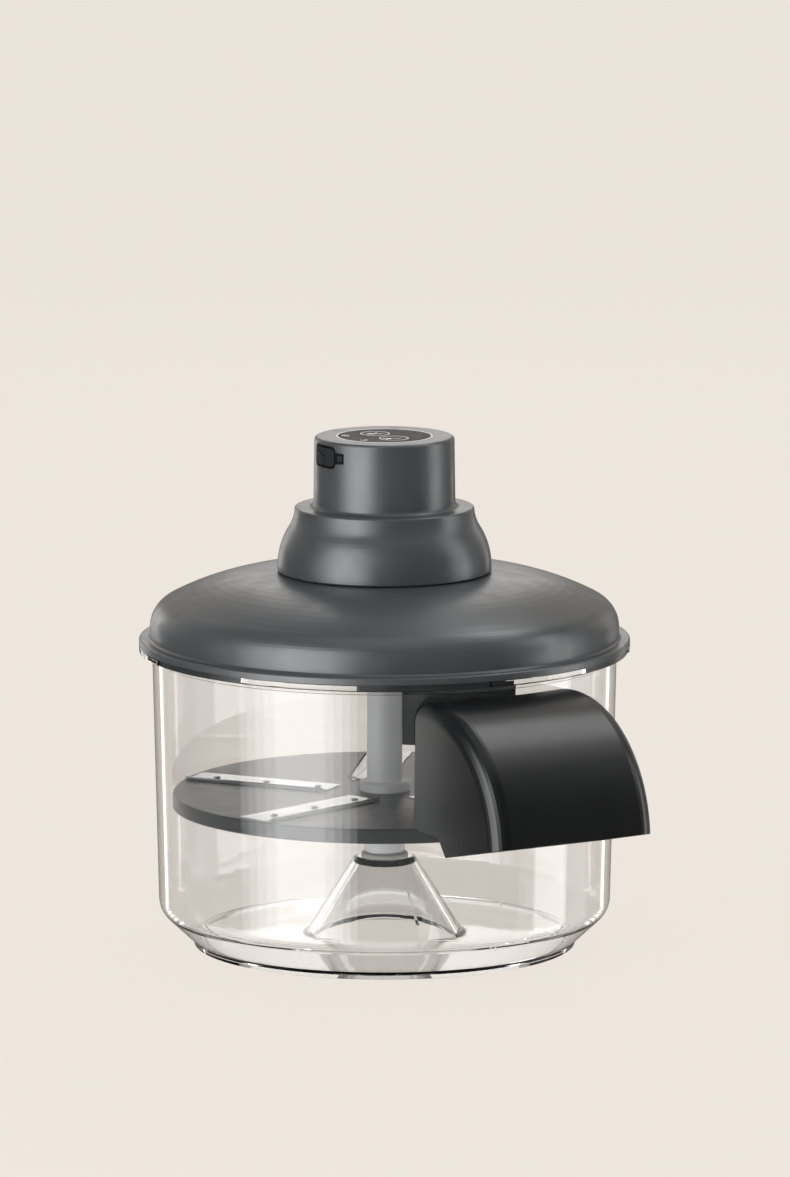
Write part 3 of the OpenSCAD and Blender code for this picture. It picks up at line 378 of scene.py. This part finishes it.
def deselect():
    if bpy.context.mode != "OBJECT":
        bpy.ops.object.mode_set(mode="OBJECT")
    bpy.ops.object.select_all(action="DESELECT")


def take(piece):
    """Makes a piece the only one selected, and the active one."""
    deselect()
    piece.select_set(True)
    bpy.context.view_layer.objects.active = piece


def pick(piece, test):
    """Opens edit mode with only the faces selected whose normal passes the test."""
    bpy.ops.object.mode_set(mode="EDIT")
    bpy.ops.mesh.select_mode(type="FACE")
    bpy.ops.mesh.select_all(action="DESELECT")
    bpy.ops.object.mode_set(mode="OBJECT")
    for face in piece.data.polygons:
        face.select = test(face.normal)
    bpy.ops.object.mode_set(mode="EDIT")


def pick_points(piece, test):
    """Opens edit mode with only the points selected that pass the test."""
    bpy.ops.object.mode_set(mode="EDIT")
    bpy.ops.mesh.select_mode(type="VERT")
    bpy.ops.mesh.select_all(action="DESELECT")
    bpy.ops.object.mode_set(mode="OBJECT")
    for point in piece.data.vertices:
        point.select = test(point.co)
    bpy.ops.object.mode_set(mode="EDIT")


def extrude(step):
    bpy.ops.mesh.extrude_region_move(TRANSFORM_OT_translate={"value": step})


def thicken():
    """Makes the flat sheet in edit mode a closed layer of ink."""
    bpy.ops.mesh.select_all(action="SELECT")
    extrude((0, 0, INK_T))
    bpy.ops.mesh.select_all(action="SELECT")
    bpy.ops.mesh.normals_make_consistent(inside=False)
    bpy.ops.object.mode_set(mode="OBJECT")


def flat_ring(radius, width, at):
    deselect()
    bpy.ops.mesh.primitive_circle_add(vertices=RING_POINTS, radius=radius, fill_type="NGON", location=at)
    bpy.ops.object.mode_set(mode="EDIT")
    bpy.ops.mesh.inset(thickness=width)
    bpy.ops.mesh.delete(type="FACE")
    thicken()
    return bpy.context.object


def flat_dot(radius, at):
    deselect()
    bpy.ops.mesh.primitive_circle_add(vertices=DOT_POINTS, radius=radius, fill_type="NGON", location=at)
    bpy.ops.object.mode_set(mode="EDIT")
    thicken()
    return bpy.context.object


def flat_triangle(radius, at):
    """Triangle that points to +Y, with its corners rounded."""
    deselect()
    bpy.ops.mesh.primitive_circle_add(vertices=3, radius=radius, fill_type="NGON", location=at)
    bpy.ops.object.mode_set(mode="EDIT")
    bpy.ops.mesh.bevel(offset=0.12 * radius, segments=3, affect="VERTICES")
    thicken()
    return bpy.context.object


def flat_bar(width, start, end):
    """Straight stroke from one point to another."""
    way = end - start
    turn = -Vector((1, 0)).angle_signed(way.xy)
    deselect()
    bpy.ops.mesh.primitive_plane_add(size=width, location=start, rotation=(0, 0, turn))
    piece = bpy.context.object
    pick_points(piece, lambda co: co.x > 0)
    extrude(way)
    thicken()
    return piece


def flat_arc(radius, width, start, sweep, at):
    """Stroke along part of a circle, spun from a short edge."""
    out = Vector((cos(start), sin(start), 0))
    along = Vector((-sin(start), cos(start), 0))
    deselect()
    bpy.ops.mesh.primitive_plane_add(size=width, location=at + out * radius + along * width / 2,
                                     rotation=(0, 0, start))
    piece = bpy.context.object
    pick_points(piece, lambda co: co.y > 0)
    bpy.ops.mesh.delete(type="VERT")
    bpy.ops.mesh.select_all(action="SELECT")
    bpy.ops.mesh.spin(steps=ARC_STEPS, angle=sweep, center=at, axis=(0, 0, 1))
    thicken()
    return piece


def finish_piece(name, parts, body, material, stands_for=None):
    """Joins the parts into one piece at the origin, which rides on a body."""
    piece = parts[0]
    take(piece)
    for part in parts[1:]:
        part.select_set(True)
    if len(parts) > 1:
        bpy.ops.object.join()
    bpy.ops.object.transform_apply(location=True, rotation=True, scale=True)
    bpy.ops.object.shade_smooth_by_angle(angle=SMOOTH_ANGLE)
    piece.name = piece.data.name = name
    piece.data.materials.clear()
    piece.data.materials.append(material)
    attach(piece, body)
    if stands_for:
        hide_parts(stands_for)


# Printed signs: +Y is up on each of them

KEY_RING_R = 6.1 * MM
KEY_RING_W = 0.5 * MM
GRAPE_R = 0.8 * MM
GRAPE_PLACES = ((-0.95 * MM, -1.6 * MM), (0.95 * MM, -1.6 * MM), (0, -3.2 * MM))
PEEL_R = 1.7 * MM
PEEL_W = 0.5 * MM
PEEL_Y = 2.0 * MM
PEEL_START = radians(20)
PEEL_SWEEP = radians(200)
STALK_W = 0.4 * MM
STALK_FOOT = (0, -0.5 * MM)
STALK_TIP = (0.5 * MM, 0.7 * MM)
ARROW_R = 1.8 * MM
ARROW_Y = -2.2 * MM
EJECT_BAR_W = 0.6 * MM
EJECT_BAR_HALF = 1.5 * MM
EJECT_BAR_Y = -4.0 * MM
BOW_R = 1.5 * MM
BOW_W = 0.4 * MM
BOW_Y = 1.6 * MM
BOW_START = radians(30)
BOW_SWEEP = radians(120)
BATTERY_OUT = 16.0 * MM
BATTERY_TURN = radians(237)
BATTERY_HALF = 1.7 * MM
BATTERY_TALL = 0.95 * MM
BATTERY_LINE = 0.3 * MM
CHARGE_BAR_W = 0.5 * MM
CHARGE_BAR_TALL = 0.4 * MM
CHARGE_BAR_X = (-0.9 * MM, 0)
BATTERY_TIP_X = BATTERY_HALF + 0.4 * MM
BATTERY_TIP_TALL = 0.3 * MM
POWER_OUT = 14.5 * MM
POWER_TURN = radians(294)
POWER_R = 1.3 * MM
POWER_LINE = 0.35 * MM
POWER_START = radians(130)
POWER_SWEEP = radians(280)
POWER_BAR = (0.3 * MM, 1.7 * MM)


def key_middle(node):
    """Middle of a key's top face."""
    lo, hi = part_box(node)
    return Vector(((lo.x + hi.x) / 2, (lo.y + hi.y) / 2, hi.z))


def panel_spot(out, turn):
    """Point on the panel's face, at a distance and a direction from its middle."""
    return Vector((out * cos(turn), out * sin(turn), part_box("control_panel")[1].z))


def beside(spot, x, y):
    return spot + Vector((x, y, 0))


def key_signs():
    """White outline of each key, with a bunch and a peel on one and an eject sign on the other."""
    key = key_middle("peel_key")
    ring = flat_ring(KEY_RING_R, KEY_RING_W, key)
    grapes = [flat_dot(GRAPE_R, beside(key, x, y)) for x, y in GRAPE_PLACES]
    peel = flat_arc(PEEL_R, PEEL_W, PEEL_START, PEEL_SWEEP, beside(key, 0, PEEL_Y))
    stalk = flat_bar(STALK_W, beside(key, *STALK_FOOT), beside(key, *STALK_TIP))
    finish_piece("peel_sign", [ring, *grapes, peel, stalk], "peel_key", INK)
    key = key_middle("eject_key")
    ring = flat_ring(KEY_RING_R, KEY_RING_W, key)
    arrow = flat_triangle(ARROW_R, beside(key, 0, ARROW_Y))
    bar = flat_bar(EJECT_BAR_W, beside(key, -EJECT_BAR_HALF, EJECT_BAR_Y),
                   beside(key, EJECT_BAR_HALF, EJECT_BAR_Y))
    bow = flat_arc(BOW_R, BOW_W, BOW_START, BOW_SWEEP, beside(key, 0, BOW_Y))
    finish_piece("eject_sign", [ring, arrow, bar, bow], "eject_key", INK)


def panel_signs():
    """Battery and power signs at the panel's edge."""
    spot = panel_spot(BATTERY_OUT, BATTERY_TURN)
    corner_a, corner_b = beside(spot, -BATTERY_HALF, -BATTERY_TALL), beside(spot, BATTERY_HALF, -BATTERY_TALL)
    corner_c, corner_d = beside(spot, -BATTERY_HALF, BATTERY_TALL), beside(spot, BATTERY_HALF, BATTERY_TALL)
    lines = [flat_bar(BATTERY_LINE, *ends) for ends in (
        (corner_a, corner_b), (corner_c, corner_d), (corner_a, corner_c), (corner_b, corner_d))]
    for x, tall in ((BATTERY_TIP_X, BATTERY_TIP_TALL), *[(x, CHARGE_BAR_TALL) for x in CHARGE_BAR_X]):
        lines.append(flat_bar(CHARGE_BAR_W, beside(spot, x, -tall), beside(spot, x, tall)))
    finish_piece("battery_sign", lines, "motor_unit", INK)
    spot = panel_spot(POWER_OUT, POWER_TURN)
    arc = flat_arc(POWER_R, POWER_LINE, POWER_START, POWER_SWEEP, spot)
    bar = flat_bar(POWER_LINE, beside(spot, 0, POWER_BAR[0]), beside(spot, 0, POWER_BAR[1]))
    finish_piece("power_sign", [arc, bar], "motor_unit", INK)


# Painted shade on the port cover's curved face: dark lines for the gap round it and for its thumbnail groove

COVER_OFF = 1 * MM
COVER_PROUD = 0.04 * MM
COVER_SKIN = 0.06 * MM
COVER_LINE = 0.5 * MM
COVER_MARGIN = 0.2 * MM
COVER_CORNER = 2.1 * MM
TAB_MARGIN = 0.3 * MM
TAB_HIGH = 3.7 * MM
TAB_CORNER = 0.7 * MM
CORNER_STEPS = 4
BORDER_CUTS = 5
GROOVE_W = 0.55 * MM
GROOVE_X = -5.2 * MM
GROOVE_Z = 205.6 * MM
GROOVE_STEP = (0.7 * MM, 0, -0.25 * MM)
GROOVE_STEPS = 8


def cover_front():
    """Place along Y of a sheet that stands clear in front of the cover."""
    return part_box("port_cover")[0].y - COVER_OFF


def laid_on_cover(piece):
    """Lays a flat sheet in front of the port cover on the cover's curved face, as a thin skin."""
    take(piece)
    wrap = piece.modifiers.new("wrap", "SHRINKWRAP")
    wrap.target = nodes["port_cover"]
    wrap.wrap_method = "PROJECT"
    wrap.use_project_z = True
    wrap.use_positive_direction = True
    wrap.use_negative_direction = True
    wrap.offset = COVER_PROUD
    shell = piece.modifiers.new("shell", "SOLIDIFY")
    shell.thickness = COVER_SKIN
    shell.offset = -1
    for name in ("wrap", "shell"):
        bpy.ops.object.modifier_apply(modifier=name)
    return piece


def cover_gap_shadow(x, z, wide, high, corner):
    """Painted shadow of the gap round the cover: a border line with round corners, cut fine enough to bend
    with the cover.
    """
    at = (x, cover_front(), z)
    deselect()
    bpy.ops.mesh.primitive_plane_add(size=high, location=at, rotation=(pi / 2, 0, 0))
    piece = bpy.context.object
    bpy.ops.object.mode_set(mode="EDIT")
    bpy.ops.transform.resize(value=(wide / high, 1, 1), center_override=at)
    bpy.ops.mesh.bevel(offset=corner, segments=CORNER_STEPS, affect="VERTICES")
    bpy.ops.mesh.inset(thickness=COVER_LINE)
    bpy.ops.mesh.delete(type="FACE")
    bpy.ops.mesh.select_all(action="SELECT")
    bpy.ops.mesh.subdivide(number_cuts=BORDER_CUTS)
    bpy.ops.object.mode_set(mode="OBJECT")
    return laid_on_cover(piece)


def groove_painted_shade():
    """Slanted dark line for the thumbnail, painted shade of its groove."""
    deselect()
    bpy.ops.mesh.primitive_plane_add(size=GROOVE_W, location=(GROOVE_X, cover_front(), GROOVE_Z),
                                     rotation=(pi / 2, 0, 0))
    piece = bpy.context.object
    pick_points(piece, lambda co: co.x > 0)
    for _ in range(GROOVE_STEPS):
        extrude(GROOVE_STEP)
    bpy.ops.object.mode_set(mode="OBJECT")
    return laid_on_cover(piece)


def cover_painted_shade():
    """Painted shade on the port cover, whose tab is on its +X side: dark lines for the gap round its body and
    its tab, and for its thumbnail groove.
    """
    lo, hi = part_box("port_cover")
    middle = (lo.z + hi.z) / 2
    tab_x, tab_wide = (hi.x - lo.x) / 2, hi.x + lo.x
    body = cover_gap_shadow(0, middle, -2 * lo.x - COVER_MARGIN, hi.z - lo.z - COVER_MARGIN, COVER_CORNER)
    tab = cover_gap_shadow(tab_x, middle, tab_wide - TAB_MARGIN, TAB_HIGH, TAB_CORNER)
    finish_piece("cover_painted_shade", [body, tab, groove_painted_shade()], "port_cover", GAP_PAINTED_SHADE)


# Screws: counts, and shares of the head's or the shank's radius unless they say otherwise

SCREW_SIDES = 32
HEAD_ROUND = 0.4         # of the head's height
HEAD_ROUND_STEPS = 4
THREAD_ROOT = 0.82
THREAD_PITCH = 0.55
FEWEST_THREADS = 3
TIP = 0.35
RECESS_LONG = 1.25
RECESS_WIDE = 0.3
RECESS_HIGH = 1.1        # of the head's height, half of it in the head


def cross_recess(piece, head_r, head_h, start):
    """Cuts the two slots of a cross recess into a screw's head."""
    for wide, deep in ((RECESS_LONG, RECESS_WIDE), (RECESS_WIDE, RECESS_LONG)):
        deselect()
        bpy.ops.mesh.primitive_cube_add(size=1, location=(0, 0, start))
        cutter = bpy.context.object
        bpy.ops.object.mode_set(mode="EDIT")
        bpy.ops.transform.resize(value=(wide * head_r, deep * head_r, RECESS_HIGH * head_h),
                                 center_override=(0, 0, start))
        bpy.ops.object.mode_set(mode="OBJECT")
        take(piece)
        cut = piece.modifiers.new("cut", "BOOLEAN")
        cut.operation = "DIFFERENCE"
        cut.object = cutter
        bpy.ops.object.modifier_apply(modifier="cut")
        bpy.data.objects.remove(cutter)


def screw(head_r, head_h, shank_r, start, end):
    """Screw whose rounded head starts at one height and whose ridged shank ends at another."""
    up = 1 if end > start else -1
    deselect()
    bpy.ops.mesh.primitive_cylinder_add(vertices=SCREW_SIDES, radius=head_r, depth=head_h,
                                        location=(0, 0, start + up * head_h / 2))
    piece = bpy.context.object
    pick(piece, lambda normal: normal.z * up < -0.9)
    bpy.ops.mesh.bevel(offset=HEAD_ROUND * head_h, segments=HEAD_ROUND_STEPS, affect="EDGES")
    pick(piece, lambda normal: normal.z * up > 0.9)
    bpy.ops.mesh.inset(thickness=head_r - THREAD_ROOT * shank_r)
    length = abs(end - start) - head_h
    threads = max(FEWEST_THREADS, round(length / (THREAD_PITCH * shank_r)))
    step = length / (threads + 1)
    z = start + up * head_h
    for _ in range(threads):
        for grow in (1 / THREAD_ROOT, THREAD_ROOT):
            extrude((0, 0, up * step / 2))
            z += up * step / 2
            bpy.ops.transform.resize(value=(grow, grow, 1), center_override=(0, 0, z))
    extrude((0, 0, up * step))
    bpy.ops.transform.resize(value=(TIP, TIP, 1), center_override=(0, 0, end))
    bpy.ops.object.mode_set(mode="OBJECT")
    cross_recess(piece, head_r, head_h, start)
    return piece


def screw_set(node, body, head_r, head_h, shank_r, places, down=False):
    """One screw, modelled once and copied to each place, in the stead of a CAD node."""
    lo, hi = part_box(node)
    start, end = (hi.z, lo.z) if down else (lo.z, hi.z)
    first = screw(head_r, head_h, shank_r, start, end)
    made = [first]
    for x, y in places[1:]:
        take(first)
        bpy.ops.object.duplicate(linked=False)
        bpy.ops.transform.translate(value=(x, y, 0))
        made.append(bpy.context.object)
    take(first)
    bpy.ops.transform.translate(value=(*places[0], 0))
    finish_piece(node + "_cut", made, body, SCREW_STEEL, node)


def around(radius, angles):
    """Places on a circle round the axis, at angles in degrees."""
    return [(radius * cos(radians(a)), radius * sin(radians(a))) for a in angles]


BASE_SCREWS = around(36.2 * MM, (70, 110, 250, 290))
CASE_SCREWS = around(21 * MM, (90, 270))
BOARD_SCREWS = around(23.3 * MM, (90, 210, 330))
BAFFLE_SCREWS = [(10.04 * MM, 30.64 * MM), (2.12 * MM, 35.31 * MM)]

key_signs()
panel_signs()
cover_painted_shade()
screw_set("base_screws", "motor_unit", 2.8 * MM, 1.2 * MM, 1.45 * MM, BASE_SCREWS)
screw_set("case_screws", "motor_unit", 2.3 * MM, 1.5 * MM, 1.2 * MM, CASE_SCREWS, down=True)
screw_set("board_screws", "motor_unit", 1.2 * MM, 0.9 * MM, 0.8 * MM, BOARD_SCREWS)
screw_set("baffle_screws", "lid", 2.2 * MM, 1.6 * MM, 1.2 * MM, BAFFLE_SCREWS)


# Studio


def stage_floor():
    """Pale floor that shows as an even backdrop and keeps a light shadow."""
    deselect()
    bpy.ops.mesh.primitive_circle_add(vertices=64, radius=FLOOR_RADIUS, fill_type="NGON",
                                      location=(0, 0, -FLOOR_DROP))
    floor = bpy.context.object
    floor.name = "studio_floor"
    floor.visible_glossy = False
    floor.visible_transmission = False
    f = Finish("studio_paper", Roughness=FLOOR_ROUGHNESS)
    pale = linear(BACKGROUND)
    f.shader.inputs["Base Color"].default_value = pale
    glow = f.add("ShaderNodeEmission")
    glow.inputs["Color"].default_value = pale
    path = f.add("ShaderNodeLightPath")
    share = f.add("ShaderNodeMath", operation="MULTIPLY")
    share.inputs[1].default_value = FLOOR_GLOW
    f.link(path.outputs["Is Camera Ray"], share.inputs[0])
    mix = f.add("ShaderNodeMixShader")
    f.link(share.outputs[0], mix.inputs[0])
    f.link(f.shader.outputs["BSDF"], mix.inputs[1])
    f.link(glow.outputs["Emission"], mix.inputs[2])
    f.link(mix.outputs["Shader"], f.output.inputs["Surface"])
    floor.data.materials.append(f.material)


def direction(turn, rise):
    """Unit vector at an angle to the right of the camera, seen from the object, and above level."""
    a = CAMERA_AZIMUTH + turn
    return Vector((sin(a) * cos(rise), -cos(a) * cos(rise), sin(rise)))


def soft_box(name, turn, rise, distance, width, height, radiance):
    """Area lamp that faces the object."""
    lamp = bpy.data.lights.new(name, "AREA")
    lamp.shape = "RECTANGLE"
    lamp.size = width
    lamp.size_y = height
    lamp.energy = radiance * pi * width * height
    box = bpy.data.objects.new(name, lamp)
    bpy.context.scene.collection.objects.link(box)
    out = direction(radians(turn), radians(rise))
    box.location = AIM + out * distance
    box.rotation_euler = out.to_track_quat("Z", "Y").to_euler()


def studio_world():
    """Even light on the object; the backdrop shows, and gloss sees it behind and a dark room in front."""
    world = bpy.data.worlds.new("studio")
    bpy.context.scene.world = world
    world.use_nodes = True
    tree = world.node_tree

    def add(kind, **values):
        node = tree.nodes.new(kind)
        for key, value in values.items():
            setattr(node, key, value)
        return node

    def light(rgba, strength):
        node = add("ShaderNodeBackground")
        node.inputs["Color"].default_value = rgba
        node.inputs["Strength"].default_value = strength
        return node.outputs[0]

    def mixed(fac, a, b):
        node = add("ShaderNodeMixShader")
        tree.links.new(fac, node.inputs[0])
        tree.links.new(a, node.inputs[1])
        tree.links.new(b, node.inputs[2])
        return node.outputs[0]

    def along(axis):
        """How far a ray's direction goes along an axis."""
        node = add("ShaderNodeVectorMath", operation="DOT_PRODUCT")
        node.inputs[1].default_value = axis
        tree.links.new(ray, node.inputs[0])
        return node.outputs["Value"]

    def rising(value, edge):
        """Rises from 0 to 1 as a value crosses an edge."""
        node = add("ShaderNodeMapRange", interpolation_type="SMOOTHSTEP")
        node.inputs["From Min"].default_value = edge[0]
        node.inputs["From Max"].default_value = edge[1]
        tree.links.new(value, node.inputs["Value"])
        return node.outputs["Result"]

    ray = add("ShaderNodeTexCoord").outputs["Generated"]
    path = add("ShaderNodeLightPath")
    back = along(-direction(0, 0))
    height = along((0, 0, 1))
    white = (1, 1, 1, 1)
    pale = linear(BACKGROUND)
    backdrop = light(pale, 1.0)
    room = light(white, DARK_ROOM)
    low = mixed(rising(back, LOW_BACK_EDGE), room, light(pale, LOW_BACK))
    high = mixed(rising(back, HIGH_BACK_EDGE), room, light(pale, HIGH_BACK))
    gloss = mixed(rising(height, GLOSS_HORIZON), low, high)
    gloss = mixed(rising(height, GLOSS_CEILING), gloss, room)
    glass = mixed(rising(back, GLASS_BACK_EDGE), light(white, GLASS_SIDES), backdrop)
    front = mixed(rising(back, GLASS_FRONT_EDGE), light(white, GLASS_FRONT), glass)
    glass = mixed(rising(height, GLASS_HORIZON), glass, front)
    whole = mixed(path.outputs["Is Camera Ray"], light(white, AMBIENT), backdrop)
    whole = mixed(path.outputs["Is Glossy Ray"], whole, gloss)
    whole = mixed(path.outputs["Is Transmission Ray"], whole, glass)
    tree.links.new(whole, tree.nodes["World Output"].inputs["Surface"])


def photo_camera():
    """Camera at the photograph's viewing angle."""
    data = bpy.data.cameras.new("photo_camera")
    data.sensor_width = SENSOR
    data.lens = FOCAL_PX * SENSOR / PHOTO_LONG_SIDE
    data.clip_end = CAMERA_REACH
    camera = bpy.data.objects.new("photo_camera", data)
    bpy.context.scene.collection.objects.link(camera)
    out = direction(0, CAMERA_ELEVATION)
    right = Vector((cos(CAMERA_AZIMUTH), sin(CAMERA_AZIMUTH), 0))
    camera.location = AIM + out * CAMERA_DISTANCE + right * SIDE_STEP
    camera.rotation_euler = out.to_track_quat("Z", "Y").to_euler()
    bpy.context.scene.camera = camera


stage_floor()
studio_world()
for i in range(LEFT_BOXES):
    soft_box(f"left_box_{i + 1}", *[first + i * step for first, step in zip(LEFT_BOX, LEFT_BOX_STEP)])
for name, values in LAMPS.items():
    soft_box(name, *values)
photo_camera()
bpy.context.scene.view_settings.view_transform = "Standard"
